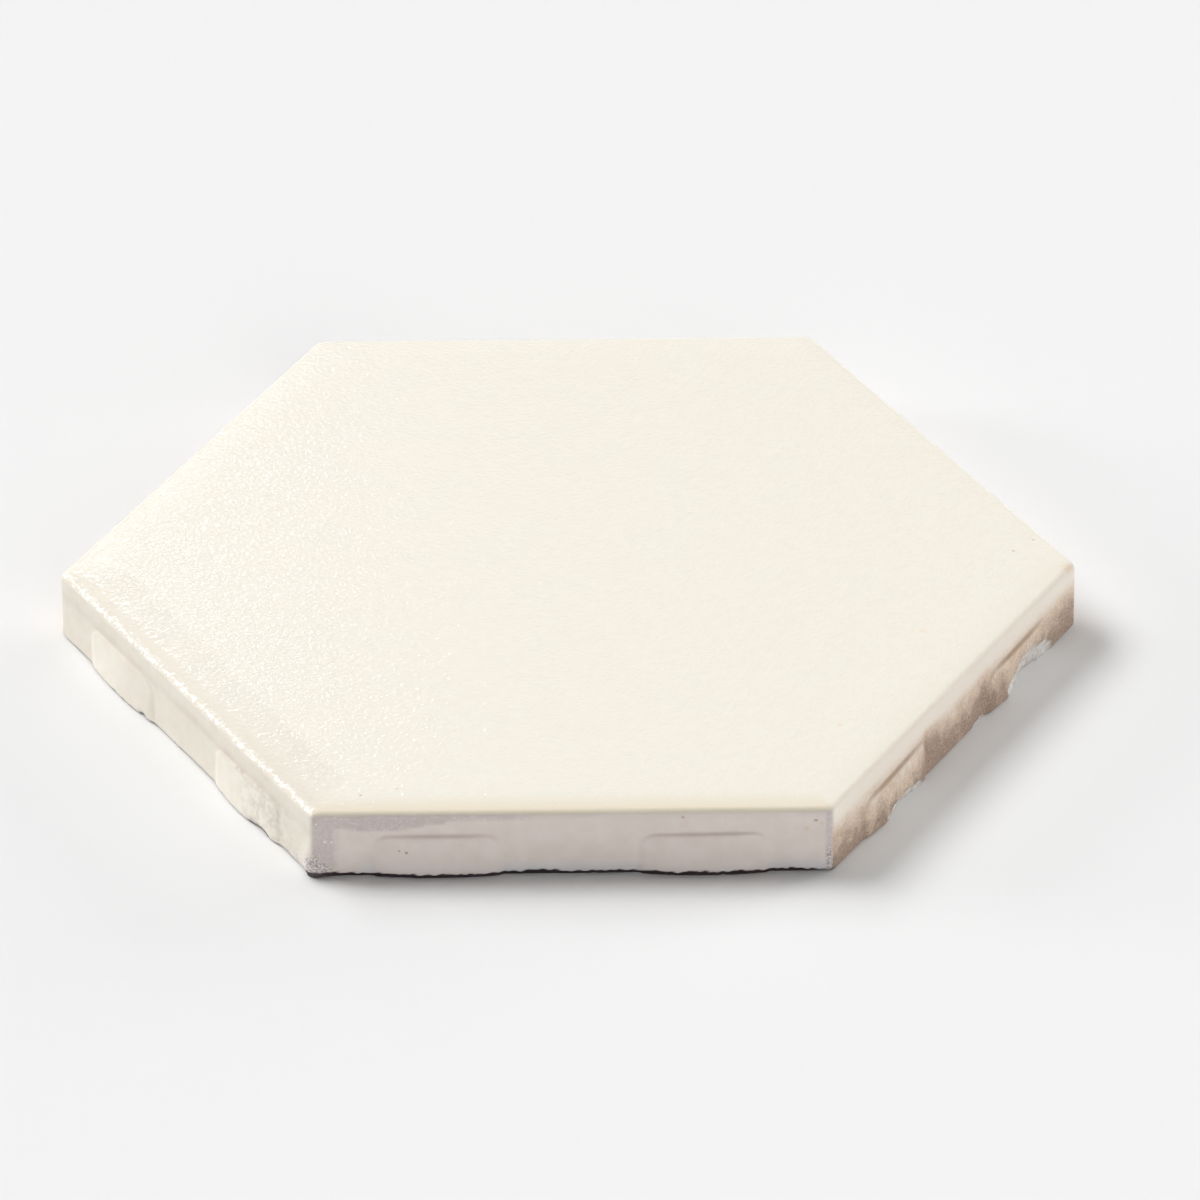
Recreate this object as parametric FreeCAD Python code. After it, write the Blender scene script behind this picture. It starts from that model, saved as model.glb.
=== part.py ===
"""Hexagon floor tile, glazed, dust-pressed in one piece.

Millimetres, +Z up. The origin is the middle of the back, on the level that the tile lies on.
Two of the six sides run along X, so a corner points to +X and another to -X.
"""
import FreeCAD, Part
import math
import os

from FreeCAD import Vector

# Body
across_flats = 101.6        # from one side of the body to the opposite one, without its lugs
thickness = 8.7             # from the back to the middle of the face
corner_radius = 1.0         # the six upright corners, in plan

# Face edge
edge_roll_width = 5.0       # the face starts to fall this far in from its side
edge_roll_drop = 0.22       # how far it has fallen where the rounding starts
edge_roll_corner = 4.0      # corner radius of the flat middle of the face, in plan
arris_radius = 0.9          # rounding between the face and the side

# Spacer lugs, two on each side
lug_spacing = 29.4          # from the middle of one lug to the middle of the other
lug_width = 14.2
lug_proud = 0.8             # at the middle of the lug, on the level of the back
lug_proud_top = 0.25        # there on its upper ledge: the lug leans back, so that it leaves the die
lug_end_share = 0.35        # how proud its two ends stand, as a share of its middle
lug_top_below_face = 3.3
lug_shoulder_radius = 1.6   # upper corners, seen from the side
lug_root = 1.5              # how far the lug's blank reaches into the body

# Keyed back: square pockets between ribs, inside a plain rim
rim_width = 6.0
key_depth = 0.8
key_pitch = 12.7
key_rib = 3.2               # width of the rib between two pockets, at the back's level
key_draft = 35.0            # degrees that a pocket's walls lean, so that it leaves the die
least_pocket = 0.15         # a pocket that the rim leaves less of than this share is left out

ARC_STEPS = 4               # sections that the rolled edge is drawn through


def side_length(flats):
    """Side of a regular hexagon from the distance across its flats."""
    return flats / math.sqrt(3)


def hexagon_outline(flats, radius, z):
    """Closed wire of a hexagon with rounded corners, at height z."""
    reach = side_length(flats)
    setback = radius * math.tan(math.radians(30))
    edges = []
    ends = []
    for index in range(6):
        corner = Vector(reach * math.cos(math.radians(60 * index)),
                        reach * math.sin(math.radians(60 * index)), z)
        before = Vector(math.cos(math.radians(60 * index - 60)), math.sin(math.radians(60 * index - 60)), 0)
        after = Vector(math.cos(math.radians(60 * index + 60)), math.sin(math.radians(60 * index + 60)), 0)
        to_before = (before * reach + Vector(0, 0, z) - corner).normalize()
        to_after = (after * reach + Vector(0, 0, z) - corner).normalize()
        outward = Vector(corner.x, corner.y, 0).normalize()
        top_of_arc = corner - outward * (radius / math.cos(math.radians(30)) - radius)
        ends.append((corner + to_before * setback, top_of_arc, corner + to_after * setback))
    for index in range(6):
        start, middle, finish = ends[index]
        following = ends[(index + 1) % 6][0]
        edges.append(Part.Arc(start, middle, finish).toShape())
        edges.append(Part.LineSegment(finish, following).toShape())
    return Part.Wire(edges)


def make_body():
    """The body with its rolled face edge and rounded arris, without lugs or pockets."""
    shoulder = thickness - edge_roll_drop
    walls = Part.Face(hexagon_outline(across_flats, corner_radius, 0)).extrude(Vector(0, 0, shoulder))
    sections = []
    for step in range(ARC_STEPS + 1):
        inward = step / ARC_STEPS
        fall = edge_roll_drop * (1 - inward) ** 2
        radius = corner_radius + (edge_roll_corner - corner_radius) * inward
        flats = across_flats - 2 * edge_roll_width * inward
        sections.append(hexagon_outline(flats, radius, thickness - fall))
    crown = Part.makeLoft(sections, True, False)
    body = walls.fuse(crown).removeSplitter()
    rim = [edge for edge in body.Edges
           if abs(edge.BoundBox.ZMin - shoulder) < 1e-4 and abs(edge.BoundBox.ZMax - shoulder) < 1e-4]
    return body.makeFillet(arris_radius, rim)


def lug_plan(proud, z):
    """Closed wire of a lug seen from above, bowed out to proud between its two ends."""
    half = lug_width / 2
    end_y = -lug_end_share * proud
    return Part.Wire([
        Part.Arc(Vector(-half, end_y, z), Vector(0, -proud, z), Vector(half, end_y, z)).toShape(),
        Part.LineSegment(Vector(half, end_y, z), Vector(half, lug_root, z)).toShape(),
        Part.LineSegment(Vector(half, lug_root, z), Vector(-half, lug_root, z)).toShape(),
        Part.LineSegment(Vector(-half, lug_root, z), Vector(-half, end_y, z)).toShape(),
    ])


def make_lug():
    """One lug on the side that faces -Y, centred on X = 0 and standing out from Y = 0."""
    half = lug_width / 2
    height = thickness - lug_top_below_face
    blank = Part.makeLoft([lug_plan(lug_proud, 0), lug_plan(lug_proud_top, height)], True, True)
    radius = lug_shoulder_radius
    cut_in = radius * (1 - math.cos(math.radians(45)))
    face_y = -2 * lug_proud
    front = Part.Wire([
        Part.LineSegment(Vector(-half, face_y, 0), Vector(half, face_y, 0)).toShape(),
        Part.LineSegment(Vector(half, face_y, 0), Vector(half, face_y, height - radius)).toShape(),
        Part.Arc(Vector(half, face_y, height - radius),
                 Vector(half - cut_in, face_y, height - cut_in),
                 Vector(half - radius, face_y, height)).toShape(),
        Part.LineSegment(Vector(half - radius, face_y, height),
                         Vector(radius - half, face_y, height)).toShape(),
        Part.Arc(Vector(radius - half, face_y, height),
                 Vector(cut_in - half, face_y, height - cut_in),
                 Vector(-half, face_y, height - radius)).toShape(),
        Part.LineSegment(Vector(-half, face_y, height - radius), Vector(-half, face_y, 0)).toShape(),
    ])
    arch = Part.Face(front).extrude(Vector(0, lug_root - face_y, 0))
    return blank.common(arch)


def make_lugs():
    """Two lugs on each of the six sides."""
    pattern = make_lug()
    lugs = []
    for side in range(6):
        for way in (-1, 1):
            lug = pattern.copy()
            lug.translate(Vector(way * lug_spacing / 2, -across_flats / 2, 0))
            lug.rotate(Vector(0, 0, 0), Vector(0, 0, 1), 60 * side)
            lugs.append(lug)
    return lugs


def square_wire(half, x, y, z):
    """Closed square of the given half width round (x, y), at height z."""
    corners = [Vector(x - half, y - half, z), Vector(x + half, y - half, z),
               Vector(x + half, y + half, z), Vector(x - half, y + half, z)]
    return Part.makePolygon(corners + corners[:1])


def make_pockets():
    """The pockets that key the back into its bed, cut off where they reach the rim."""
    lean = key_depth * math.tan(math.radians(key_draft))
    mouth = (key_pitch - key_rib) / 2
    field_flats = across_flats - 2 * rim_width
    field = Part.makeLoft([hexagon_outline(field_flats, corner_radius, 0),
                           hexagon_outline(field_flats - 2 * lean, corner_radius, key_depth)], True, True)
    reach = int(math.ceil(side_length(field_flats) / key_pitch))
    pockets = []
    for column in range(-reach, reach):
        for row in range(-reach, reach):
            x = (column + 0.5) * key_pitch
            y = (row + 0.5) * key_pitch
            pocket = Part.makeLoft([square_wire(mouth, x, y, 0),
                                    square_wire(mouth - lean, x, y, key_depth)], True, True)
            clipped = pocket.common(field)
            if clipped.Volume > least_pocket * pocket.Volume:
                pockets.extend(clipped.Solids)
    return pockets


def make_tile():
    """The whole tile as one solid."""
    tile = make_body().fuse(make_lugs()).removeSplitter()
    tile = tile.cut(make_pockets())
    return tile.Solids[0]


hexagon_tile = make_tile()
os.makedirs("parts", exist_ok=True)
hexagon_tile.exportStep("parts/hexagon_tile.step")

box = hexagon_tile.BoundBox
print("hexagon_tile", "valid" if hexagon_tile.isValid() else "INVALID",
      "faces", len(hexagon_tile.Faces), "volume cm3", round(hexagon_tile.Volume / 1000, 2))
print("size", round(box.XLength, 2), round(box.YLength, 2), round(box.ZLength, 2))
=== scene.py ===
"""Looks of the hexagon floor tile: its fired mesh, its glaze and bare clay, floor, light and camera.

The mesh is worked out in millimetres and written in metres.
"""

import math

import bmesh
import bpy
import numpy as np
from mathutils import Matrix, Vector, noise


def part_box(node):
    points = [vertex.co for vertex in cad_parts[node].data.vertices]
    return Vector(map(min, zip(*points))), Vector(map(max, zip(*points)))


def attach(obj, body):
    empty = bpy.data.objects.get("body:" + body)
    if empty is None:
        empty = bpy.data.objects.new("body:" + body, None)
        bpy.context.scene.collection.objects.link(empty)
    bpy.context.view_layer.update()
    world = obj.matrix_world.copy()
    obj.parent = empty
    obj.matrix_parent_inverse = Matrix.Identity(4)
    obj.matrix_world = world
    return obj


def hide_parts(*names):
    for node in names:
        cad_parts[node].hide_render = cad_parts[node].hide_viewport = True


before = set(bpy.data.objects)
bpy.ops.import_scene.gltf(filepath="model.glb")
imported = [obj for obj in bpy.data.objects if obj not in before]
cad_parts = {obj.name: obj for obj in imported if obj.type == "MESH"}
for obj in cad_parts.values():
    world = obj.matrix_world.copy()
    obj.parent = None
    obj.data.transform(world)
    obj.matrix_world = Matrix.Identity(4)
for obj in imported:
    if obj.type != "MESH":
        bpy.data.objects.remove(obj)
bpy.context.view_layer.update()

MM = 0.001

# Tile, as in the frame's solid
ACROSS_FLATS = 101.6
THICKNESS = (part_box("hexagon_tile")[1].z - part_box("hexagon_tile")[0].z) / MM
SIDE = ACROSS_FLATS / math.sqrt(3)
CORNER_RADIUS = 1.05        # a little over the solid's, so that the mesh stays inside its box
EDGE_ROLL_WIDTH = 5.0
EDGE_ROLL_DROP = 0.22
EDGE_ROLL_CORNER = 4.0
LUG_SPACING = 29.4
LUG_WIDTH = 14.2
LUG_PROUD = 0.76
LUG_PROUD_TOP = 0.2
LUG_END = 0.35
LUG_TOP = THICKNESS - 3.3
LUG_SHOULDER = 1.6
LUG_LEDGE = 0.36
LUG_SIDE = 0.8
RIM_WIDTH = 6.0
KEY_DEPTH = 0.8
KEY_PITCH = 12.7
KEY_RIB = 3.2
KEY_LEAN = KEY_DEPTH * math.tan(math.radians(35))
LEAST_POCKET = 0.15

# Fineness of the mesh, where the coarse flat of the face starts, and the width of the border of the back
FINE = 0.3
COARSE = 1.2
FLAT_TOP_INSET = 6.0
BACK_BORDER = 2.0

# Rings of the upper edge: shares of the way in from the arris to the flat, then degrees round the arris
EDGE_SHARES = (1.0, 0.8, 0.64, 0.49, 0.36, 0.24, 0.14, 0.06)
ARRIS_DEGREES = (86, 76, 65, 54, 43, 32, 21, 10, 0)

# Sides, counted round from the front one; each runs from its left end to its right, seen from outside
FRONT, RIGHT, BACK_RIGHT, BACK, BACK_LEFT, LEFT = range(6)
# How softly each side's upper edge is rounded, as the glaze ran off it
ARRIS = {FRONT: 0.66, RIGHT: 0.75, BACK_RIGHT: 0.9, BACK: 0.8, BACK_LEFT: 0.9, LEFT: 0.75}
# How high above the floor each side's lower edge hangs, and how far in the foot stands
FOOT_HEIGHT = {FRONT: 0.55, RIGHT: 0.12, BACK_RIGHT: 0.2, BACK: 0.4, BACK_LEFT: 0.3, LEFT: 0.22}
FOOT_DEPTH = {FRONT: 0.22, RIGHT: 0.15, BACK_RIGHT: 0.2, BACK: 0.6, BACK_LEFT: 0.4, LEFT: 0.3}
# How dark each side's foot is painted, as contact shadow under its lower edge
CONTACT_SHADOW_LEVEL = {FRONT: 1.0, RIGHT: 0.2, BACK_RIGHT: 0.3, BACK: 0.3, BACK_LEFT: 0.3, LEFT: 0.75}
# How clearly each side's lug ledges are lined with brown and painted shade, most on the shaded right side
LEDGE_LINE = {FRONT: 0.6, RIGHT: 2.0, BACK_RIGHT: 0.6, BACK: 0.5, BACK_LEFT: 0.3, LEFT: 0.12}

# Lugs that sit beside their place or slope: side, left or right one, shift along, slope of the ledge
LUG_QUIRKS = {(FRONT, 0): (-0.45, 0.0), (FRONT, 1): (0.15, 0.012), (RIGHT, 0): (0.0, 0.05),
              (RIGHT, 1): (0.2, 0.03), (LEFT, 0): (0.1, 0.0), (LEFT, 1): (-0.1, 0.0)}

# How far the foot of the corner at the front's left end spreads, and how much higher it hangs
CORNER_FLARE = 0.6
CORNER_LIFT = 0.45

# Chips in the lower edge: raggedness and sharp step of their outlines, then side, place along it, half
# width, height and depth of each
CHIP_RAGGED = 0.16
CHIP_STEP = 0.1
CHIPS = [
    (RIGHT, 16.1, 4.6, 1.5, 0.95),
    (RIGHT, 46.8, 6.0, 3.4, 1.7),
    (RIGHT, 35.0, 1.6, 0.6, 0.35),
    (FRONT, 46.3, 0.7, 1.1, 0.4),
    (LEFT, 19.8, 1.0, 0.7, 0.5),
    (LEFT, 47.2, 2.4, 1.0, 0.6),
    (BACK, 22.0, 1.8, 0.8, 0.6),
    (BACK_LEFT, 40.0, 2.2, 0.9, 0.6),
    (BACK_RIGHT, 12.5, 1.6, 0.7, 0.5),
]

# Line of brown and painted shade along a lug's ledge: its width, and its level in the middle, over 1 so that
# it is full there
LEDGE_LINE_WIDTH = 0.3
LEDGE_LINE_LEVEL = 1.15

# Height down to which the sides keep the thick glaze of the face
GLAZE_LINE = 8.15

# Bare clay of the front side: places along it, the heights of the scallop's lower edge there, and its end
SCALLOP_PLACES = (2.8, 3.6, 6.2, 9.2, 11.8, 14.6, 16.3)
SCALLOP_HEIGHTS = (6.5, 6.4, 6.05, 6.1, 6.6, 7.0, 7.5)
SCALLOP_END = 17.5
BARE_END = 2.8              # the left end is bare up to this place
STRIP_BOTTOM = 7.2          # a faint bare strip runs on above this height
STRIP_FADE = 26.0           # and fades at this place

# Brown stain and painted shade of the right side, darker downwards: where it starts, how far below that it
# is full, and the place, width and strength of its creases of painted shade
STAIN_AND_SHADE_TOP = 7.0
STAIN_AND_SHADE_DROP = 5.6
CREASE_SHADES = [(23.0, 2.0, 0.8), (35.9, 1.4, 0.6), (55.5, 3.5, 0.15), (22.0, 0.4, 0.8)]

# Marks of the left side
LIP_HEIGHT = 5.9
FRECKLES_PLACE = 42.0
FRECKLES_HEIGHT = 5.4
MOTTLE_PLACE = 48.5
MOTTLE_WIDTH = 5.5
MOTTLE_TOP = 6.4

# Heights from which the upper edge has its olive tint and painted shade, and its glaze beads with their
# painted highlight
RIM_BOTTOM = 7.95
BEADS_BOTTOM = 8.05


def smooth(value):
    """Smooth step from 0 to 1 while value goes from 0 to 1."""
    value = np.clip(value, 0.0, 1.0)
    return value * value * (3 - 2 * value)


def bell(value, middle, width):
    """1 where value is at the middle, falling off softly over about width on both sides."""
    return np.exp(-((value - middle) / width) ** 2)


def wave(points, scale, seed):
    """Noise from -1 to 1 at each point, with features of about scale millimetres."""
    shift = Vector((seed * 17.3, seed * 5.1, seed * 9.7))
    return np.array([noise.noise(Vector(p) / scale + shift) for p in points])


class Columns:
    """The upright lines of the mesh round the tile: straight stretches and corner arcs."""

    def __init__(self, spacing, arc_steps):
        sides, shares, turns, places = [], [], [], []
        setback = CORNER_RADIUS * math.tan(math.radians(30))
        steps = round((SIDE - 2 * setback) / spacing)
        for side in range(6):
            for step in range(arc_steps):
                sides.append(side)
                shares.append(0.0)
                turns.append(-60 + 60 * step / arc_steps)
                places.append(0.0)
            for step in range(steps):
                sides.append(side)
                shares.append(step / steps)
                turns.append(0.0)
                places.append(setback + (SIDE - 2 * setback) * step / steps)
        self.side = np.array(sides)
        self.share = np.array(shares)
        self.turn = np.array(turns)
        self.place = np.array(places)
        angle = np.radians(-90 + 60 * self.side + self.turn)
        self.normal = np.stack([np.cos(angle), np.sin(angle)], 1)

    def outline(self, inset):
        """Points of the rounded hexagon that lies inset inside the body's outline."""
        inset = np.broadcast_to(inset, self.side.shape)
        flats = ACROSS_FLATS - 2 * inset
        softness = np.clip(inset / EDGE_ROLL_WIDTH, 0, 1)
        radius = CORNER_RADIUS + (EDGE_ROLL_CORNER - CORNER_RADIUS) * softness
        radius = np.minimum(radius, 0.4 * flats)
        reach = flats / math.sqrt(3) - radius / math.cos(math.radians(30))
        start = np.radians(-120 + 60 * self.side)
        centre = reach[:, None] * np.stack([np.cos(start), np.sin(start)], 1)
        following = reach[:, None] * np.stack([np.cos(start + np.pi / 3), np.sin(start + np.pi / 3)], 1)
        centre = centre + (following - centre) * self.share[:, None]
        return centre + radius[:, None] * self.normal

    def by_side(self, values):
        """A value for each column from one for each side, passing softly round the corners."""
        total = np.zeros(len(self.side))
        weights = np.zeros(len(self.side))
        along = self.place / SIDE
        before = np.clip(0.5 - along / 0.1, 0, 0.5)
        after = np.clip((along - 0.9) / 0.1 - 0.5, 0, 0.5)
        for step, share in ((-1, before), (1, after), (0, np.ones(len(along)))):
            neighbour = (self.side + step) % 6
            weight = share if step else 1 - weights
            total = total + weight * np.array([values[side] for side in neighbour])
            weights = weights + share
        return total


def lug_shape(columns, z):
    """How far a side's lugs stand out at a place along it and a height, and two masks of them.

    The first mask is the line of brown and painted shade along the ledge and the second the lug's own face.
    """
    reach = np.zeros_like(columns.place)
    ledge = np.zeros_like(columns.place)
    face = np.zeros_like(columns.place)
    half = LUG_WIDTH / 2
    proud = LUG_PROUD_TOP + (LUG_PROUD - LUG_PROUD_TOP) * (1 - np.clip(z / LUG_TOP, 0, 1))
    for order, way in enumerate((-1, 1)):
        quirks = [LUG_QUIRKS.get((side, order), (0.0, 0.0)) for side in columns.side]
        shift, slope = np.array(quirks).T
        along = columns.place - (SIDE / 2 + way * LUG_SPACING / 2 + shift)
        off = np.abs(along)
        round_in = np.clip(off - (half - LUG_SHOULDER), 0, LUG_SHOULDER)
        top = LUG_TOP - (LUG_SHOULDER - np.sqrt(LUG_SHOULDER ** 2 - round_in ** 2))
        top = top + slope * (along - half)
        bulge = LUG_END + (1 - LUG_END) * np.clip(1 - (off / half) ** 2, 0, 1)
        inside = smooth((half - off) / LUG_SIDE + 0.5) * smooth((top - z) / LUG_LEDGE + 0.5)
        fade = np.clip(LEDGE_LINE_LEVEL - (off / half) ** 2, 0, 1)
        reach = reach + proud * bulge * inside
        # Line of brown and painted shade in the crease along the ledge
        ledge = ledge + (off < half) * bell(z, top, LEDGE_LINE_WIDTH) * fade
        face = face + inside
    return reach, ledge, face


def chip_depth(columns, z, points):
    """How deep the chips cut in at a height, for each column."""
    depth = np.zeros(len(columns.place))
    rough = wave(points, 1.1, 3)
    for side, place, half_width, height, deep in CHIPS:
        here = columns.side == side
        away = np.sqrt(((columns.place - place) / half_width) ** 2 + (z / height) ** 2)
        inside = np.clip(1 - away + CHIP_RAGGED * rough, 0, 1)
        depth = np.maximum(depth, here * (deep * inside + CHIP_STEP * smooth(inside / 0.06)))
    return depth


def foot_depth(columns, z, points):
    """How far the side draws in towards the floor under its ragged lower edge, and a mask of the painted
    contact shadow on that foot.
    """
    height = columns.by_side(FOOT_HEIGHT)
    height = height * (1 + 0.3 * wave(points, 3.5, 5) + 0.45 * wave(points, 0.8, 6)) + 0.04
    height = height + CORNER_LIFT * near_corner(columns, FRONT, 1.6)
    turn = 0.15 * height * np.clip(1 - (z - height) / 0.8, 0, 1) ** 2
    under = smooth((height - z) / (0.35 * height))
    return turn + columns.by_side(FOOT_DEPTH) * under, under * columns.by_side(CONTACT_SHADOW_LEVEL)


def near_corner(columns, side, reach):
    """1 at the left corner of a side, falling off over about reach millimetres both ways."""
    before = (side - 1) % 6
    away = np.where(columns.side == before, SIDE - columns.place, SIDE)
    away = np.where(columns.side == side, columns.place, away)
    return bell(away, 0.0, reach)


def on_side(columns, side):
    """1 on the columns of one side, 0 beyond its corners."""
    angle = -90 + 60 * side
    normal = np.array([math.cos(math.radians(angle)), math.sin(math.radians(angle))])
    return smooth((columns.normal @ normal - 0.8) / 0.12)


def bare_front(place, z):
    """Where the front side shows bare clay: a scallop under the face edge, the left end and a strip."""
    sag = np.interp(place, SCALLOP_PLACES, SCALLOP_HEIGHTS)
    scallop = smooth((z - sag) / 0.3 + 0.5) * smooth((SCALLOP_END - place) / 2)
    end = smooth((BARE_END - place) / 1.5 + 0.5)
    level = (0.14 + 0.6 * smooth((STRIP_FADE - place) / 4)) * smooth((place - 10) / 4)
    strip = smooth((z - STRIP_BOTTOM) / 0.5) * level
    return np.maximum(np.maximum(0.9 * scallop, 0.8 * end), strip)


class Ring:
    """One ring round the edge or the side, with all that its masks are worked out from."""

    def __init__(self, columns, z, lug, points, inset):
        self.place = columns.place
        self.z = z
        self.lug = lug
        self.inset = inset
        self.front = on_side(columns, FRONT)
        self.right = on_side(columns, RIGHT)
        self.left = on_side(columns, LEFT)
        self.rest = 1 - np.clip(self.front + self.right + self.left, 0, 1)
        self.soft = wave(points, 5.0, 11)
        self.spots = wave(points, 1.4, 12)
        self.fine = wave(points, 0.5, 13)
        line = GLAZE_LINE + 0.1 * wave(points, 2.0, 14) + 0.1 * self.fine
        self.below = smooth((line - z) / 0.8 + 0.5)
        self.corner = near_corner(columns, FRONT, 1.2) * smooth((3.4 - z) / 1.6 + 0.3 * self.fine)


def bare_clay(ring):
    """Clay that shows on the front side and at the foot of its left corner."""
    side = ring.front * bare_front(ring.place, ring.z) * ring.below
    return np.maximum(side, np.clip(1.4 * ring.corner, 0, 1))


def lip_stain(ring):
    """The left side's brown tinge: a band at the ledges' height, freckles and the end of the first lug."""
    height = LIP_HEIGHT + 0.2 * ring.soft
    band = 0.42 * bell(ring.z, height, 0.6) * (1 + 0.8 * ring.soft + 0.4 * ring.spots)
    freckles = bell(ring.place, FRECKLES_PLACE, 3.0) * smooth(0.3 + 1.5 * ring.fine)
    freckles = freckles * bell(ring.z, FRECKLES_HEIGHT + 0.2 * ring.spots, 0.25)
    first = ring.lug * smooth((ring.place - 11.0) / 8.0) * smooth(25.0 - ring.place)
    return ring.left * (band + freckles + 0.3 * first * (1 + 0.5 * ring.soft))


def brown_stain_and_shade(ring):
    """Brown stain with painted shade, darker down the right side, painted shade in its creases, less of both
    on the paler lugs, and faint on the far sides.
    """
    drop = np.clip((STAIN_AND_SHADE_TOP - ring.z) / STAIN_AND_SHADE_DROP, 0, 1)
    crease_shade = sum(strength * bell(ring.place, place, width) for place, width, strength in CREASE_SHADES)
    pale = ring.lug * (0.13 + 0.27 * smooth((34 - ring.place) / 4)) * smooth((ring.z + 0.8) / 4.0)
    uneven = 0.2 * ring.soft + 0.35 * ring.spots + 0.25 * ring.fine
    near = ring.right * drop * (1.0 - pale + uneven + crease_shade)
    return near + ring.rest * 0.35 * drop * (1 + 0.6 * ring.soft)


def grey_mottle(ring):
    """Grey of the left side: a mottled patch by its second lug and a tinge; fainter on the far sides."""
    patch = 0.85 * bell(ring.place, MOTTLE_PLACE, MOTTLE_WIDTH) * smooth(MOTTLE_TOP - ring.z)
    patch = patch * smooth(0.4 + 0.7 * ring.spots + 0.7 * ring.fine)
    spots = 0.16 * (1 - 0.6 * ring.lug) * smooth(ring.spots + 0.6 * ring.fine)
    tinge = (1 - ring.lug) * (0.2 + 0.1 * smooth((ring.place - 38) / 14))
    far = 0.4 * smooth(0.2 + ring.soft) * smooth((8.0 - ring.z) / 0.8)
    return ring.left * (patch + spots + tinge) + ring.rest * far


def cool_shaded_foot(ring):
    """Painted shade with the cool reflection of the dark floor at the front side's foot, less on its lugs.
    """
    low = smooth((2.6 - ring.z) / 2.2) * smooth((ring.place - 4.0) / 3.0)
    return ring.front * (1 - 0.7 * ring.lug) * low


def dark_grit(ring):
    """Grit at the foot of the corner between the left side and the front."""
    front = ring.front * smooth((3.4 - ring.z - 1.1 * ring.place) / 1.4 + 0.5 + 0.5 * ring.spots)
    left = 0.5 * ring.left * smooth((2.2 - ring.z) / 1.5) * smooth((ring.place - 52.0) / 4.0)
    return np.maximum(front, ring.corner) + left


def cream_glaze(ring):
    """Where a side is cream: above the glaze line, and all down the left and the right side."""
    return 1 - ring.below * (1 - ring.left - 0.5 * ring.rest - ring.right)


def olive_rim_tint_and_shade(ring):
    """Olive tint with painted shade along the rolled upper edge, where it turns away from the light;
    clearest on the front side.
    """
    level = 0.95 * ring.front + 0.1 * ring.right + 0.35 * ring.left + 0.1 * ring.rest
    return level * smooth(1 - (ring.inset - 0.6) / 3.0) * smooth((ring.z - RIM_BOTTOM) / 0.4)


def calm_edge(ring):
    """Where the glaze lies smooth, without its orange peel: a band along the edge, wide on the left."""
    wide = ring.left * smooth((3.7 - ring.inset) / 2.0)
    return wide + 0.6 * (1 - ring.left) * smooth((1.5 - ring.inset) / 0.8)


def bead_highlight_row(ring):
    """The row of glaze beads along the left side's upper edge: their bumps, and their painted white
    highlight.
    """
    return ring.left * smooth((ring.z - BEADS_BOTTOM) / 0.2) * smooth((0.85 - ring.inset) / 0.3)


def paint(columns, z, lug, points, inset=0.0):
    """The masks of one ring of the edge or the side: bare clay, stains, painted shade and highlight, and
    where the glaze is thick.
    """
    ring = Ring(columns, z, lug, points, inset)
    masks = {
        "bare": bare_clay(ring),
        "lip": lip_stain(ring),
        "brown": brown_stain_and_shade(ring),
        "grey": grey_mottle(ring),
        "cool": cool_shaded_foot(ring),
        "grit": dark_grit(ring),
        "cream": cream_glaze(ring),
        "warm": ring.right,
        "pale": ring.left * ring.lug,
        "rim": olive_rim_tint_and_shade(ring),
        "calm": calm_edge(ring),
        "beads": bead_highlight_row(ring),
    }
    return {name: np.clip(mask, 0, 1) for name, mask in masks.items()}


def edge_rows(columns):
    """(inset, height, steepness) of the rings from the flat of the face to the foot of the arris."""
    radius = columns.by_side(ARRIS)

    def height(inset):
        """Height of the face that far in from its side."""
        return THICKNESS - EDGE_ROLL_DROP * np.clip(1 - inset / EDGE_ROLL_WIDTH, 0, 1) ** 2

    rows = []
    for share in EDGE_SHARES:
        inset = radius + (FLAT_TOP_INSET - radius) * share
        rows.append((inset, height(inset), 0.0))
    centre = height(radius) - radius
    for degrees in ARRIS_DEGREES:
        angle = math.radians(degrees)
        rows.append((radius * (1 - math.cos(angle)), centre + radius * math.sin(angle), 1 - degrees / 90))
    return rows


def wall_heights(top):
    """Heights of the rings down the side, close together at the ledges and at the lower edge.

    The first ones close the gap between the feet of the arrises and one level.
    """
    level = float(top.min())
    upper = [top + (level - 0.1 - top) * share for share in (0.35, 0.7, 1.0)]
    upper = upper + list(np.linspace(level - 0.1, LUG_TOP + 0.5, 5)[1:])
    ledge = list(np.linspace(LUG_TOP + 0.5, LUG_TOP - 1.0, 12)[1:])
    middle = list(np.linspace(LUG_TOP - 1.0, 3.2, 5)[1:])
    lower = list(np.linspace(3.2, 0.6, 14)[1:])
    foot = list(np.linspace(0.6, 0.0, 7)[1:])
    return upper + ledge + middle + lower + foot


class Skin:
    """Collects the tile's vertices, faces and painted masks."""

    MASKS = ("wall", "calm", "beads", "rim", "cream", "warm", "pale", "lip", "bare", "brown", "grey", "cool",
             "grit", "ledge", "chip", "foot", "back")

    def __init__(self):
        self.points = []
        self.faces = []
        self.masks = {name: [] for name in self.MASKS}

    def ring(self, xy, z, **masks):
        """Adds one closed ring of vertices and returns their numbers."""
        first = len(self.points)
        z = np.broadcast_to(z, (len(xy),))
        self.points.extend((x, y, height) for (x, y), height in zip(xy, z))
        for name in self.MASKS:
            self.masks[name].extend(np.broadcast_to(masks.get(name, 0.0), (len(xy),)).tolist())
        return list(range(first, first + len(xy)))

    def band(self, outer, inner):
        """Joins two rings of one length with quads."""
        count = len(outer)
        for index in range(count):
            after = (index + 1) % count
            self.faces.append((outer[index], outer[after], inner[after], inner[index]))

    def zip(self, outer, inner):
        """Joins two rings of unlike lengths with triangles."""
        one, two = 0, 0
        while one < len(outer) or two < len(inner):
            if one * len(inner) <= two * len(outer) and one < len(outer):
                self.faces.append((outer[one % len(outer)], outer[(one + 1) % len(outer)],
                                   inner[two % len(inner)]))
                one += 1
            else:
                self.faces.append((outer[one % len(outer)], inner[(two + 1) % len(inner)],
                                   inner[two % len(inner)]))
                two += 1


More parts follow.
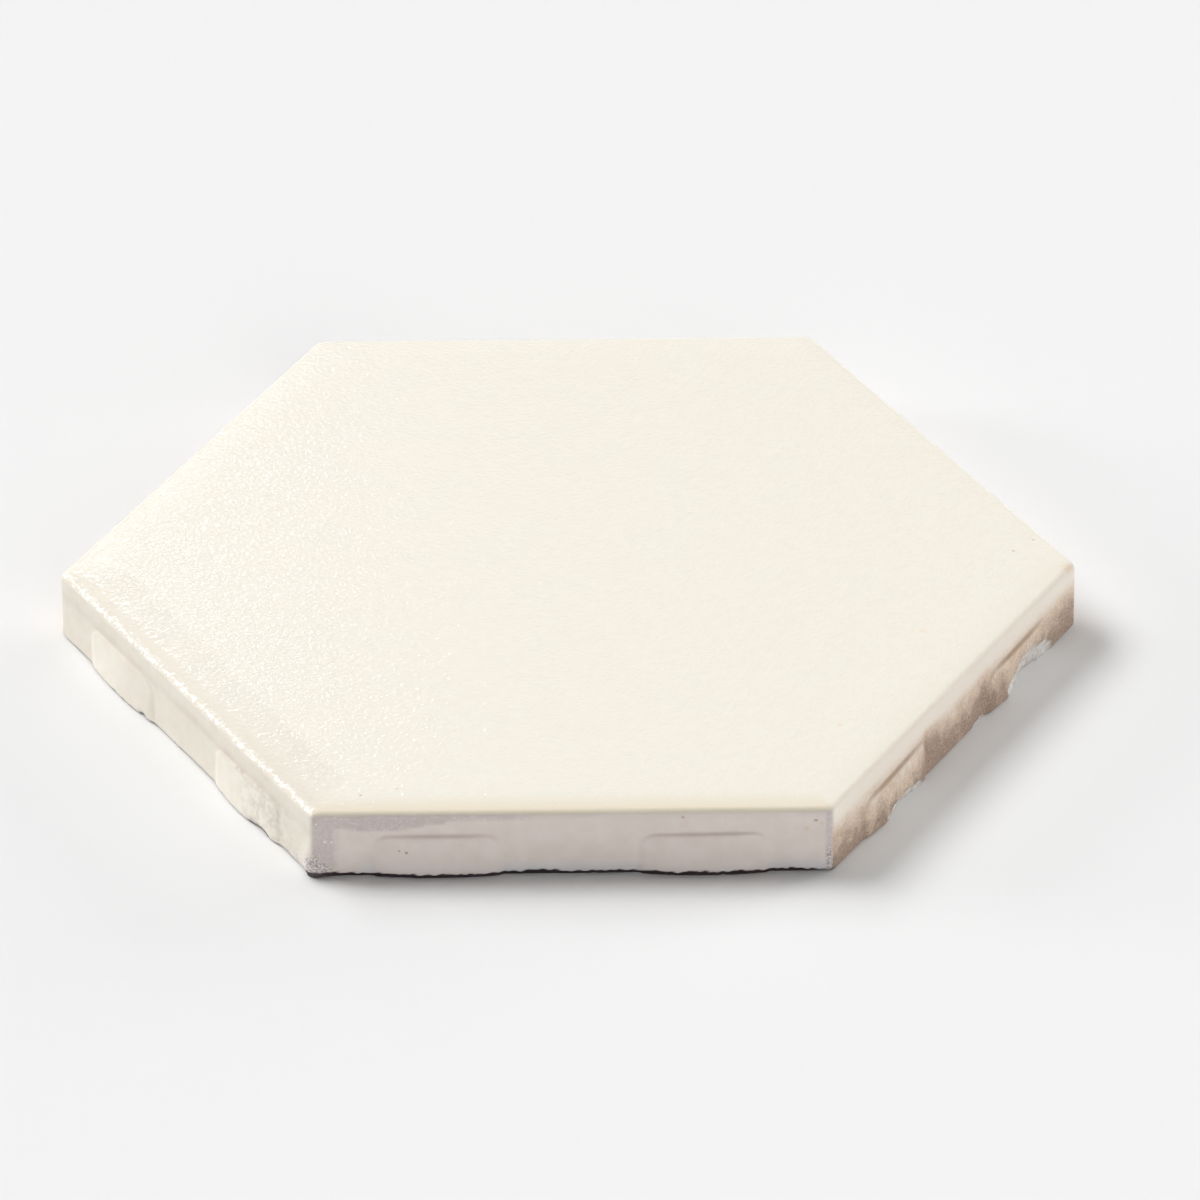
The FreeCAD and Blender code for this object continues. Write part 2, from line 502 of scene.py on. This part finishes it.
def clip_convex(polygon, border):
    """The part of a convex polygon inside another; both run anticlockwise."""
    for index in range(len(border)):
        start, end = border[index], border[(index + 1) % len(border)]
        kept = []

        def side(point):
            """Above 0 on the inner side of the border's edge."""
            return (end - start).cross(point - start)

        for at in range(len(polygon)):
            here, after = polygon[at], polygon[(at + 1) % len(polygon)]
            if side(here) >= 0:
                kept.append(here)
            if side(here) * side(after) < 0:
                kept.append(here.lerp(after, side(here) / (side(here) - side(after))))
        polygon = kept
        if not polygon:
            return []
    return polygon


def area(polygon):
    """Area of a convex polygon."""
    total = 0.0
    for index in range(len(polygon)):
        total += polygon[index].cross(polygon[(index + 1) % len(polygon)])
    return total / 2


def shrink(polygon, amount):
    """A convex polygon with each of its edges moved in by amount."""
    lines = []
    for index in range(len(polygon)):
        start, end = polygon[index], polygon[(index + 1) % len(polygon)]
        along = (end - start).normalized()
        inward = Vector((-along.y, along.x))
        lines.append((start + inward * amount, along))
    corners = []
    for index in range(len(lines)):
        (point, along), (before, before_along) = lines[index], lines[index - 1]
        gap = point - before
        share = gap.cross(along) / before_along.cross(along)
        corners.append(before + before_along * share)
    return corners


def pocket_mouths():
    """The pockets' outlines at the level of the back, cut off at the rim."""
    reach = (ACROSS_FLATS - 2 * RIM_WIDTH) / math.sqrt(3)
    field = [Vector((reach * math.cos(math.radians(60 * k)), reach * math.sin(math.radians(60 * k))))
             for k in range(6)]
    half = (KEY_PITCH - KEY_RIB) / 2
    count = math.ceil(reach / KEY_PITCH)
    mouths = []
    for column in range(-count, count):
        for row in range(-count, count):
            x = (column + 0.5) * KEY_PITCH
            y = (row + 0.5) * KEY_PITCH
            square = [Vector((x - half, y - half)), Vector((x + half, y - half)),
                      Vector((x + half, y + half)), Vector((x - half, y + half))]
            mouth = clip_convex(square, field)
            if mouth and area(mouth) > LEAST_POCKET * (2 * half) ** 2:
                mouths.append(mouth)
    return mouths


def add_back(skin, rim):
    """The back's ribs and pockets inside the ring of vertices rim."""
    sheet = bmesh.new()
    edges = []
    numbers = {}

    def loop(points, start):
        """Adds one closed loop of edges; each vertex remembers its number in the skin."""
        corners = []
        for offset, point in enumerate(points):
            corner = sheet.verts.new((point[0], point[1], 0))
            numbers[corner] = start[offset]
            corners.append(corner)
        for index in range(len(corners)):
            edges.append(sheet.edges.new((corners[index], corners[(index + 1) % len(corners)])))

    loop([skin.points[number][:2] for number in rim], rim)
    for mouth in pocket_mouths():
        upper = skin.ring(mouth, 0.0, back=1.0)
        floor = skin.ring(shrink(mouth, KEY_LEAN), KEY_DEPTH, back=1.0)
        skin.band(upper, floor)
        skin.faces.append(tuple(reversed(floor)))
        loop(mouth, upper)
    made = bmesh.ops.triangle_fill(sheet, use_beauty=True, edges=edges)
    for face in made["geom"]:
        if isinstance(face, bmesh.types.BMFace):
            corners = [numbers[corner] for corner in face.verts]
            flat = [Vector(skin.points[number][:2]) for number in corners]
            skin.faces.append(tuple(corners if area(flat) < 0 else reversed(corners)))
    sheet.free()


def add_edge(skin, columns):
    """Rings from the flat of the face over the arris: gives the first, the last and the last's heights."""
    faster = 1 + on_side(columns, RIGHT)
    no_lug = np.zeros(len(columns.side))
    rings = []
    for inset, z, steep in edge_rows(columns):
        outline = columns.outline(inset)
        points = np.column_stack([outline, z])
        masks = paint(columns, z, no_lug, points, inset)
        rings.append(skin.ring(outline, z, wall=smooth(steep * faster), **masks))
        if len(rings) > 1:
            skin.band(rings[-1], rings[-2])
    return rings[0], rings[-1], z


def wall_reach(columns, z, points, lugs):
    """How far the side stands out at a height with its lugs, its unevenness and the spread foot."""
    uneven = 0.03 * wave(points, 6.0, 1) + 0.015 * wave(points, 1.5, 2)
    reach = lugs + uneven * smooth(np.minimum(columns.place, SIDE - columns.place) / 2)
    low = np.clip((5 - z) / 3.6, 0, 1) ** 1.3
    return reach + CORNER_FLARE * near_corner(columns, FRONT, 1.8) * low


def add_wall(skin, columns, top, before):
    """Rings from the foot of the arris, which is at the heights top, to the floor: gives the last."""
    body = columns.outline(0.0)
    for level in wall_heights(top):
        z = np.broadcast_to(level, (len(body),))
        points = np.column_stack([body, z])
        lugs, ledge, lug = lug_shape(columns, z)
        chip = chip_depth(columns, z, points)
        foot, contact_shade = foot_depth(columns, z, points)
        out = wall_reach(columns, z, points, lugs) - np.maximum(chip, foot)
        ring = skin.ring(body + columns.normal * out[:, None], z, wall=1.0, chip=smooth(chip / 0.12),
                         ledge=ledge * columns.by_side(LEDGE_LINE), foot=contact_shade,
                         **paint(columns, z, lug, points))
        skin.band(ring, before)
        before = ring
    return before


def add_face(skin, columns, edge):
    """The flat of the face, from the edge's first ring to the middle."""
    before = edge
    inset = FLAT_TOP_INSET + COARSE
    while inset < ACROSS_FLATS / 2 - COARSE / 2:
        ring = skin.ring(columns.outline(inset), THICKNESS)
        if before is edge:
            skin.zip(before, ring)
        else:
            skin.band(before, ring)
        before = ring
        inset += COARSE
    middle = skin.ring([(0.0, 0.0)], THICKNESS)[0]
    for index in range(len(before)):
        skin.faces.append((before[index], before[(index + 1) % len(before)], middle))


def add_underside(skin, columns, foot):
    """The underside: a border from the foot of the side inwards, and the keyed back inside it."""
    rim = skin.ring(columns.outline(BACK_BORDER), 0.0, back=1.0)
    border = Skin()
    border.zip(foot, rim)
    skin.faces.extend(tuple(reversed(face)) for face in border.faces)
    add_back(skin, rim)


def tile_skin():
    """The whole outside of the tile as one closed skin."""
    fine = Columns(FINE, 6)
    coarse = Columns(COARSE, 2)
    skin = Skin()
    edge, arris_foot, heights = add_edge(skin, fine)
    foot = add_wall(skin, fine, heights, arris_foot)
    add_face(skin, coarse, edge)
    add_underside(skin, coarse, foot)
    return skin


def tile_mesh():
    """The skin as a mesh in metres, with its masks as attributes."""
    skin = tile_skin()
    mesh = bpy.data.meshes.new("fired_tile")
    mesh.from_pydata([(x * MM, y * MM, z * MM) for x, y, z in skin.points], [], skin.faces)
    for name, values in skin.masks.items():
        attribute = mesh.attributes.new(name, "FLOAT", "POINT")
        attribute.data.foreach_set("value", np.array(values, np.float32))
    mesh.polygons.foreach_set("use_smooth", [True] * len(mesh.polygons))
    mesh.set_sharp_from_angle(angle=math.radians(40))
    mesh.validate()
    mesh.update()
    return mesh


tile = bpy.data.objects.new("fired_tile", tile_mesh())
bpy.context.scene.collection.objects.link(tile)
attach(tile, "root")
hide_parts("hexagon_tile")


BROWN = (0.34, 0.17, 0.08)
ORANGE = (0.80, 0.56, 0.32)
WHITE = (0.97, 0.95, 0.93)
FRONT_LEFT_END = -SIDE / 2
FRONT_FACE = -ACROSS_FLATS / 2


def front_mark(place, z):
    """Where a mark on the front side lies: place along the side and height."""
    return (FRONT_LEFT_END + place, FRONT_FACE, z)


# Specks and marks that show in the photograph: centre, radius, strength and colour
SPECKS = [
    ((-23.7, -47.3, THICKNESS), 0.22, 0.4, BROWN),
    ((-19.6, -46.1, THICKNESS), 0.19, 0.3, BROWN),
    ((-1.9, -49.1, THICKNESS), 0.3, 0.3, ORANGE),
    ((30.5, -34.0, THICKNESS), 0.45, 0.3, ORANGE),
    ((40.6, -14.6, THICKNESS), 0.5, 0.25, ORANGE),
    ((51.5, 2.3, THICKNESS), 0.25, 0.4, BROWN),
    ((53.9, 4.8, THICKNESS), 0.3, 0.4, BROWN),
    ((57.6, -0.9, 8.3), 1.1, 0.3, ORANGE),
    (front_mark(10.7, 3.4), 0.24, 0.6, BROWN),
    (front_mark(9.9, 3.6), 0.2, 0.5, BROWN),
    (front_mark(41.8, 7.6), 0.25, 0.35, BROWN),
    (front_mark(56.7, 7.0), 0.3, 0.5, BROWN),
    (front_mark(55.7, 5.9), 0.35, 0.35, ORANGE),
    (front_mark(57.4, 6.6), 0.35, 0.3, ORANGE),
    (front_mark(0.6, 7.1), 0.15, 0.8, WHITE),
    (front_mark(1.5, 4.7), 0.2, 0.9, WHITE),
    (front_mark(2.3, 4.7), 0.17, 0.9, WHITE),
    (front_mark(2.7, 8.0), 0.15, 0.8, WHITE),
]

# Colours of the glaze, the stains, the painted shade and highlight, and the clay; a pair runs from the
# darker tone to the lighter
FACE_GLAZE = ((0.846, 0.803, 0.702), (0.866, 0.825, 0.728))
FACE_PATCHES = (0.872, 0.812, 0.702)
SIDE_GLAZE = ((0.837, 0.741, 0.685), (0.876, 0.786, 0.735))
SIDE_CREAM = ((0.84, 0.787, 0.685), (0.875, 0.828, 0.735))
RIGHT_CREAM = (0.96, 0.875, 0.775)
LUG_CREAM = (0.93, 0.885, 0.80)
# Olive tint with painted shade for the rolled upper edge
OLIVE_TINT_AND_SHADE = (0.82, 0.735, 0.58)
# Brown and tan of the right side: stain with painted shade, darker downwards
BROWN_STAIN_AND_SHADE = ((0.285, 0.195, 0.142), (0.60, 0.455, 0.36))
STAIN_AND_SHADE_PATCHES = (0.45, 0.335, 0.26)
TAN_STAIN_AND_SHADE = ((0.69, 0.53, 0.40), (0.84, 0.69, 0.55))
GREY_STAIN = ((0.40, 0.335, 0.275), (0.66, 0.60, 0.54))
# Painted shade and reflection of the dark floor for the front side's foot
COOL_SHADE = (0.76, 0.77, 0.78)
LIP_STAIN = (0.60, 0.49, 0.41)
# Brown with painted shade for the lines along the ledges
LEDGE_STAIN_AND_SHADE = (0.38, 0.24, 0.15)
CLAY = ((0.64, 0.55, 0.54), (0.83, 0.755, 0.745))
CLAY_PATCHES = (0.68, 0.59, 0.55)
GRIT = ((0.36, 0.29, 0.29), (0.94, 0.90, 0.88))
FLAKE = ((0.70, 0.65, 0.60), (0.90, 0.87, 0.84))
# Painted contact shadow, near black, for the foot
CONTACT_SHADOW = (0.035, 0.024, 0.026)
BACK_CLAY = ((0.62, 0.55, 0.48), (0.74, 0.67, 0.60))
# Painted highlight of the glaze beads
BEAD_HIGHLIGHT = (0.99, 0.98, 0.95)

# Roughness, and depths of the relief in millimetres
FACE_ROUGHNESS = 0.34
SIDE_ROUGHNESS = 0.6
CLAY_ROUGHNESS = 0.85
CHIP_ROUGHNESS = 0.55
GRAIN_DEPTH = 0.09
PEEL_DEPTH = 0.118

# How little depth counts in the marks of the sides, and the height above which a mark is on the face
SIDE_MARK_DEPTH = 0.2
FACE_MARKS_ABOVE = 8.0


class Shader:
    """Short names for the nodes of one material."""

    def __init__(self, name):
        self.material = bpy.data.materials.new(name)
        self.material.use_nodes = True
        self.tree = self.material.node_tree
        self.tree.nodes.clear()
        self.output = self.tree.nodes.new("ShaderNodeOutputMaterial")
        self.surface = self.tree.nodes.new("ShaderNodeBsdfPrincipled")
        self.tree.links.new(self.surface.outputs[0], self.output.inputs["Surface"])
        where = self.tree.nodes.new("ShaderNodeTexCoord")
        scale = self.tree.nodes.new("ShaderNodeVectorMath")
        scale.operation = "SCALE"
        scale.inputs["Scale"].default_value = 1 / MM
        self.tree.links.new(where.outputs["Object"], scale.inputs[0])
        self.millimetres = scale.outputs[0]

    def put(self, socket, value):
        """Sets a socket to a number, a colour or another node's output."""
        if isinstance(value, bpy.types.NodeSocket):
            self.tree.links.new(value, socket)
        elif isinstance(value, tuple) and len(value) == 3 and socket.type == "RGBA":
            socket.default_value = (*value, 1.0)
        else:
            socket.default_value = value

    def math(self, operation, one, two=0.0, clamp=False):
        """A sum, difference, product or maximum of two values, kept from 0 to 1 if clamp is set."""
        node = self.tree.nodes.new("ShaderNodeMath")
        node.operation = operation
        node.use_clamp = clamp
        self.put(node.inputs[0], one)
        self.put(node.inputs[1], two)
        return node.outputs[0]

    def mask(self, name):
        """One of the masks painted on the mesh."""
        node = self.tree.nodes.new("ShaderNodeAttribute")
        node.attribute_name = name
        return node.outputs["Fac"]

    def noise(self, size, detail=2.0, roughness=0.5):
        """Noise from 0 to 1 with features of about size millimetres."""
        node = self.tree.nodes.new("ShaderNodeTexNoise")
        self.put(node.inputs["Vector"], self.millimetres)
        node.inputs["Scale"].default_value = 1 / size
        node.inputs["Detail"].default_value = detail
        node.inputs["Roughness"].default_value = roughness
        return node.outputs["Fac"]

    def spot(self, centre, radius):
        """1 inside a round mark at a place in millimetres, 0 outside it."""
        depth = 1.0 if centre[2] > FACE_MARKS_ABOVE else SIDE_MARK_DEPTH
        squash = self.tree.nodes.new("ShaderNodeVectorMath")
        squash.operation = "MULTIPLY"
        self.put(squash.inputs[0], self.millimetres)
        squash.inputs[1].default_value = (1.0, depth, 1.0)
        node = self.tree.nodes.new("ShaderNodeVectorMath")
        node.operation = "DISTANCE"
        self.put(node.inputs[0], squash.outputs[0])
        node.inputs[1].default_value = (centre[0], centre[1] * depth, centre[2])
        wobble = self.math("MULTIPLY", self.math("SUBTRACT", self.noise(0.25), 0.5), 1.2 * radius)
        return self.ramp(self.math("ADD", node.outputs["Value"], wobble), 0.5 * radius, radius, 1.0, 0.0)

    def ramp(self, value, low, high, start=0.0, end=1.0):
        """Start below low, end above high, smooth between them."""
        node = self.tree.nodes.new("ShaderNodeMapRange")
        node.interpolation_type = "SMOOTHSTEP"
        self.put(node.inputs["Value"], value)
        node.inputs["From Min"].default_value = low
        node.inputs["From Max"].default_value = high
        node.inputs["To Min"].default_value = start
        node.inputs["To Max"].default_value = end
        return node.outputs[0]

    def mix(self, share, one, two):
        """Colour one where share is 0 and two where it is 1."""
        node = self.tree.nodes.new("ShaderNodeMix")
        node.data_type = "RGBA"
        self.put(node.inputs[0], share)
        self.put(node.inputs[6], one)
        self.put(node.inputs[7], two)
        return node.outputs[2]

    def shade(self, value, low, high, colours):
        """The first of two colours where value is below low, the second where it is above high."""
        return self.mix(self.ramp(value, low, high), *colours)

    def layer(self, name, strength, under, over):
        """Colour under, with colour over laid on it where a painted mask says, at a strength."""
        return self.mix(self.math("MULTIPLY", self.mask(name), strength), under, over)

    def blend(self, share, one, two):
        """Number one where share is 0 and two where it is 1."""
        node = self.tree.nodes.new("ShaderNodeMix")
        node.data_type = "FLOAT"
        self.put(node.inputs[0], share)
        self.put(node.inputs[2], one)
        self.put(node.inputs[3], two)
        return node.outputs[0]

    def bump(self, height, depth_mm, strength=1.0, normal=None):
        """Bumps of the given depth in millimetres."""
        node = self.tree.nodes.new("ShaderNodeBump")
        node.inputs["Strength"].default_value = strength
        node.inputs["Distance"].default_value = depth_mm * MM
        self.put(node.inputs["Height"], height)
        if normal is not None:
            self.put(node.inputs["Normal"], normal)
        return node.outputs[0]


def glaze_colour_and_rim_shade(s):
    """The face's glaze with its faint patches, the thinner glaze down the sides, and the olive tint with
    painted shade along the rolled upper edge.
    """
    face = s.shade(s.noise(1.3, 3), 0.3, 0.7, FACE_GLAZE)
    face = s.mix(s.ramp(s.noise(9.0, 2), 0.35, 0.65, 0.0, 0.35), face, FACE_PATCHES)
    side = s.shade(s.noise(2.2, 4), 0.3, 0.7, SIDE_GLAZE)
    cream = s.shade(s.noise(1.7, 4), 0.3, 0.7, SIDE_CREAM)
    cream = s.mix(s.mask("warm"), cream, RIGHT_CREAM)
    cream = s.layer("pale", 0.35, cream, LUG_CREAM)
    colour = s.mix(s.mask("wall"), face, s.mix(s.mask("cream"), side, cream))
    # Painted shade, tinted olive, where the rolled upper edge turns away from the light
    return s.mix(s.mask("rim"), colour, OLIVE_TINT_AND_SHADE)


def stained_and_shaded(s, colour, sand, patches):
    """A colour with the sides' stains and painted shade over it, down to the lines of brown and painted
    shade along the lugs' ledges.
    """
    # Brown stain with painted shade, darker downwards and in the creases of the right side
    brown = s.mask("brown")
    thick = s.shade(sand, 0.32, 0.68, BROWN_STAIN_AND_SHADE)
    thick = s.shade(patches, 0.35, 0.65, (thick, STAIN_AND_SHADE_PATCHES))
    thin = s.shade(sand, 0.32, 0.68, TAN_STAIN_AND_SHADE)
    colour = s.mix(s.ramp(brown, 0.0, 0.45), colour, s.mix(s.ramp(brown, 0.3, 1.0), thin, thick))
    colour = s.layer("grey", 0.55, colour, s.mix(sand, *GREY_STAIN))
    # Painted shade with the cool reflection of the dark floor at the front side's foot
    colour = s.layer("cool", 0.8, colour, COOL_SHADE)
    colour = s.layer("lip", 0.6, colour, LIP_STAIN)
    # Line of brown and painted shade along the lugs' ledges
    return s.layer("ledge", 0.38, colour, LEDGE_STAIN_AND_SHADE)


def unglazed_and_contact_shadow(s, colour, sand, patches):
    """A colour with bare clay, grit, flaked chips, the painted contact shadow on the foot and the back over
    it.
    """
    clay = s.shade(sand, 0.25, 0.75, CLAY)
    clay = s.shade(patches, 0.35, 0.7, (clay, CLAY_PATCHES))
    colour = s.mix(s.mask("bare"), colour, clay)
    colour = s.layer("grit", 0.65, colour, s.shade(sand, 0.4, 0.6, GRIT))
    colour = s.mix(s.mask("chip"), colour, s.shade(s.noise(0.5, 3), 0.35, 0.65, FLAKE))
    # Painted contact shadow: the foot under the lower edge painted near black
    colour = s.mix(s.mask("foot"), colour, CONTACT_SHADOW)
    return s.mix(s.mask("back"), colour, s.mix(s.noise(0.3, 4, 0.7), *BACK_CLAY))


def marked_and_highlit(s, colour):
    """A colour with the painted white highlight of the glaze beads and the specks over it."""
    # Painted highlight: white laid on the glaze beads of the left edge
    lumps = s.ramp(s.noise(0.5, 1), 0.48, 0.58)
    colour = s.layer("beads", lumps, colour, BEAD_HIGHLIGHT)
    for centre, radius, strength, tint in SPECKS:
        colour = s.mix(s.math("MULTIPLY", s.spot(centre, radius), strength), colour, tint)
    return colour


def set_finish(s):
    """Roughness, the clay's grain, and the gloss of the glaze with its orange peel."""
    wall = s.mask("wall")
    chip = s.mask("chip")
    clay = s.math("MAXIMUM", s.mask("bare"), s.mask("back"))
    rough = s.blend(clay, s.blend(wall, FACE_ROUGHNESS, SIDE_ROUGHNESS), CLAY_ROUGHNESS)
    s.put(s.surface.inputs["Roughness"], s.blend(chip, rough, CHIP_ROUGHNESS))
    s.surface.inputs["IOR"].default_value = 1.5
    s.surface.inputs["Specular IOR Level"].default_value = 0.25

    peel = s.math("SUBTRACT", s.noise(0.5, 1, 0.4), 0.5)
    coarse = s.math("MAXIMUM", clay, s.math("MAXIMUM", chip, s.mask("brown")))
    relief = s.blend(coarse, s.math("MULTIPLY", peel, 0.2), s.noise(0.14, 2, 0.65))
    s.put(s.surface.inputs["Normal"], s.bump(relief, GRAIN_DEPTH))
    matt = s.math("MAXIMUM", coarse, s.ramp(wall, 0.25, 0.7, 0.0, 0.9))
    s.put(s.surface.inputs["Coat Weight"], s.math("SUBTRACT", 1.0, matt, clamp=True))
    s.surface.inputs["Coat Roughness"].default_value = 0.08
    amount = s.math("SUBTRACT", 1.0, s.math("MULTIPLY", s.mask("calm"), 0.9))
    amount = s.math("ADD", amount, s.math("MULTIPLY", s.mask("beads"), 2.0))
    s.put(s.surface.inputs["Coat Normal"], s.bump(s.math("MULTIPLY", peel, amount), PEEL_DEPTH))


def tile_material():
    """Satin cream glaze on the face, thinner glaze down the sides, bare clay where it is missing, with
    painted shade and highlights.
    """
    s = Shader("cream_glaze")
    sand = s.noise(0.26, 2, 0.65)
    patches = s.noise(0.8, 3, 0.6)
    colour = stained_and_shaded(s, glaze_colour_and_rim_shade(s), sand, patches)
    colour = marked_and_highlit(s, unglazed_and_contact_shadow(s, colour, sand, patches))
    s.put(s.surface.inputs["Base Color"], colour)
    set_finish(s)
    return s.material


tile.data.materials.append(tile_material())


# Floor, light and camera
FLOOR_COLOUR = (0.85, 0.85, 0.85)
WORLD_LEVEL = 0.01
# Suns: level, azimuth, elevation and width in degrees
SUNS = {
    "key": (2.05, 149.0, 47.9, 30.4),
    "overhead": (0.29, 89.7, 72.0, 24.4),
    "behind": (1.6, 35.3, 6.9, 33.5),
    "high_right": (0.57, 35.4, 49.3, 38.7),
    "left": (1.08, 165.6, 12.1, 19.2),
    "behind_left": (0.48, 123.4, 35.8, 14.7),
    "front": (0.9, -70.6, 22.2, 36.3),
}
# Lamps that only shine back from the glaze: place and size in millimetres, power
GLEAMS = {
    "gleam": ((-81.0, 330.0, 203.0), 24.0, 0.02),
    "haze": ((-80.0, 375.0, 223.0), 130.0, 0.02),
}
BACKDROP_LEVEL = 0.896


def make_floor():
    """A pale floor that runs far behind the tile."""
    mesh = bpy.data.meshes.new("floor")
    half = 3.0
    mesh.from_pydata([(-half, -half, 0), (half, -half, 0), (half, half, 0), (-half, half, 0)], [],
                     [(0, 1, 2, 3)])
    floor = bpy.data.objects.new("floor", mesh)
    bpy.context.scene.collection.objects.link(floor)
    material = bpy.data.materials.new("floor_white")
    material.use_nodes = True
    surface = material.node_tree.nodes["Principled BSDF"]
    surface.inputs["Base Color"].default_value = (*FLOOR_COLOUR, 1)
    surface.inputs["Roughness"].default_value = 1.0
    surface.inputs["Specular IOR Level"].default_value = 0.0
    mesh.materials.append(material)


def direction(azimuth, elevation):
    """Unit vector towards a compass direction, anticlockwise from +X, and a height above the floor."""
    turn = math.radians(azimuth)
    rise = math.radians(elevation)
    return Vector((math.cos(turn) * math.cos(rise), math.sin(turn) * math.cos(rise), math.sin(rise)))


def make_suns():
    """Suns that give the photograph's shadows; only the first is mirrored in the glaze."""
    for name, (level, azimuth, elevation, spread) in SUNS.items():
        sun = bpy.data.lights.new(name, "SUN")
        sun.energy = level
        sun.angle = math.radians(spread)
        lamp = bpy.data.objects.new(name, sun)
        lamp.rotation_euler = direction(azimuth, elevation).to_track_quat("Z", "Y").to_euler()
        sun.cycles.use_multiple_importance_sampling = False
        lamp.visible_glossy = name == "key"
        bpy.context.scene.collection.objects.link(lamp)


def make_gleams():
    """Lamps that aim at the tile's middle and only shine back from the glaze."""
    for name, (place, size, power) in GLEAMS.items():
        gleam = bpy.data.lights.new(name, "AREA")
        gleam.size = size * MM
        gleam.energy = power
        lamp = bpy.data.objects.new(name, gleam)
        lamp.location = Vector(place) * MM
        lamp.rotation_euler = Vector(place).to_track_quat("Z", "Y").to_euler()
        lamp.visible_diffuse = False
        bpy.context.scene.collection.objects.link(lamp)


def make_surround():
    """A surround that lights the scene faintly, and that the camera and the glaze see pale."""
    world = bpy.data.worlds.new("surround")
    world.use_nodes = True
    tree = world.node_tree
    light = tree.nodes["Background"]
    light.inputs["Color"].default_value = (1, 1, 1, 1)
    light.inputs["Strength"].default_value = WORLD_LEVEL
    seen = tree.nodes.new("ShaderNodeBackground")
    seen.inputs["Color"].default_value = (1, 1, 1, 1)
    seen.inputs["Strength"].default_value = BACKDROP_LEVEL
    path = tree.nodes.new("ShaderNodeLightPath")
    choose = tree.nodes.new("ShaderNodeMixShader")
    either = tree.nodes.new("ShaderNodeMath")
    either.operation = "MAXIMUM"
    tree.links.new(path.outputs["Is Camera Ray"], either.inputs[0])
    tree.links.new(path.outputs["Is Glossy Ray"], either.inputs[1])
    tree.links.new(either.outputs[0], choose.inputs[0])
    tree.links.new(light.outputs[0], choose.inputs[1])
    tree.links.new(seen.outputs[0], choose.inputs[2])
    tree.links.new(choose.outputs[0], tree.nodes["World Output"].inputs["Surface"])
    bpy.context.scene.world = world


# Camera: a long lens, in front and about a third of the way up
CAMERA_AZIMUTH = -0.216
CAMERA_ELEVATION = 32.87
CAMERA_ROLL = -0.481
CAMERA_DISTANCE = 1517.5
CAMERA_LENS = 393.15
AIM_RIGHT = 3.636
AIM_UP = 3.416


def make_camera():
    """The photograph's view: aimed a little to the right of the tile's middle and above it."""
    azimuth = math.radians(CAMERA_AZIMUTH)
    elevation = math.radians(CAMERA_ELEVATION)
    roll = math.radians(CAMERA_ROLL)
    back = Vector((math.sin(azimuth) * math.cos(elevation), -math.cos(azimuth) * math.cos(elevation),
                   math.sin(elevation)))
    right = (-back).cross(Vector((0, 0, 1))).normalized()
    up = right.cross(-back)
    right, up = math.cos(roll) * right + math.sin(roll) * up, -math.sin(roll) * right + math.cos(roll) * up
    eye = back * CAMERA_DISTANCE
    aim = right * AIM_RIGHT + up * AIM_UP
    back = (eye - aim).normalized()
    right = (right - back * right.dot(back)).normalized()
    up = back.cross(right)
    data = bpy.data.cameras.new("camera")
    data.lens = CAMERA_LENS
    data.sensor_width = 36.0
    data.clip_start = 0.01
    data.clip_end = 50.0
    camera = bpy.data.objects.new("camera", data)
    place = Matrix((right, up, back)).transposed().to_4x4()
    place.translation = eye * MM
    camera.matrix_world = place
    bpy.context.scene.collection.objects.link(camera)
    bpy.context.scene.camera = camera


make_floor()
make_suns()
make_gleams()
make_surround()
make_camera()
bpy.context.scene.view_settings.view_transform = "Standard"
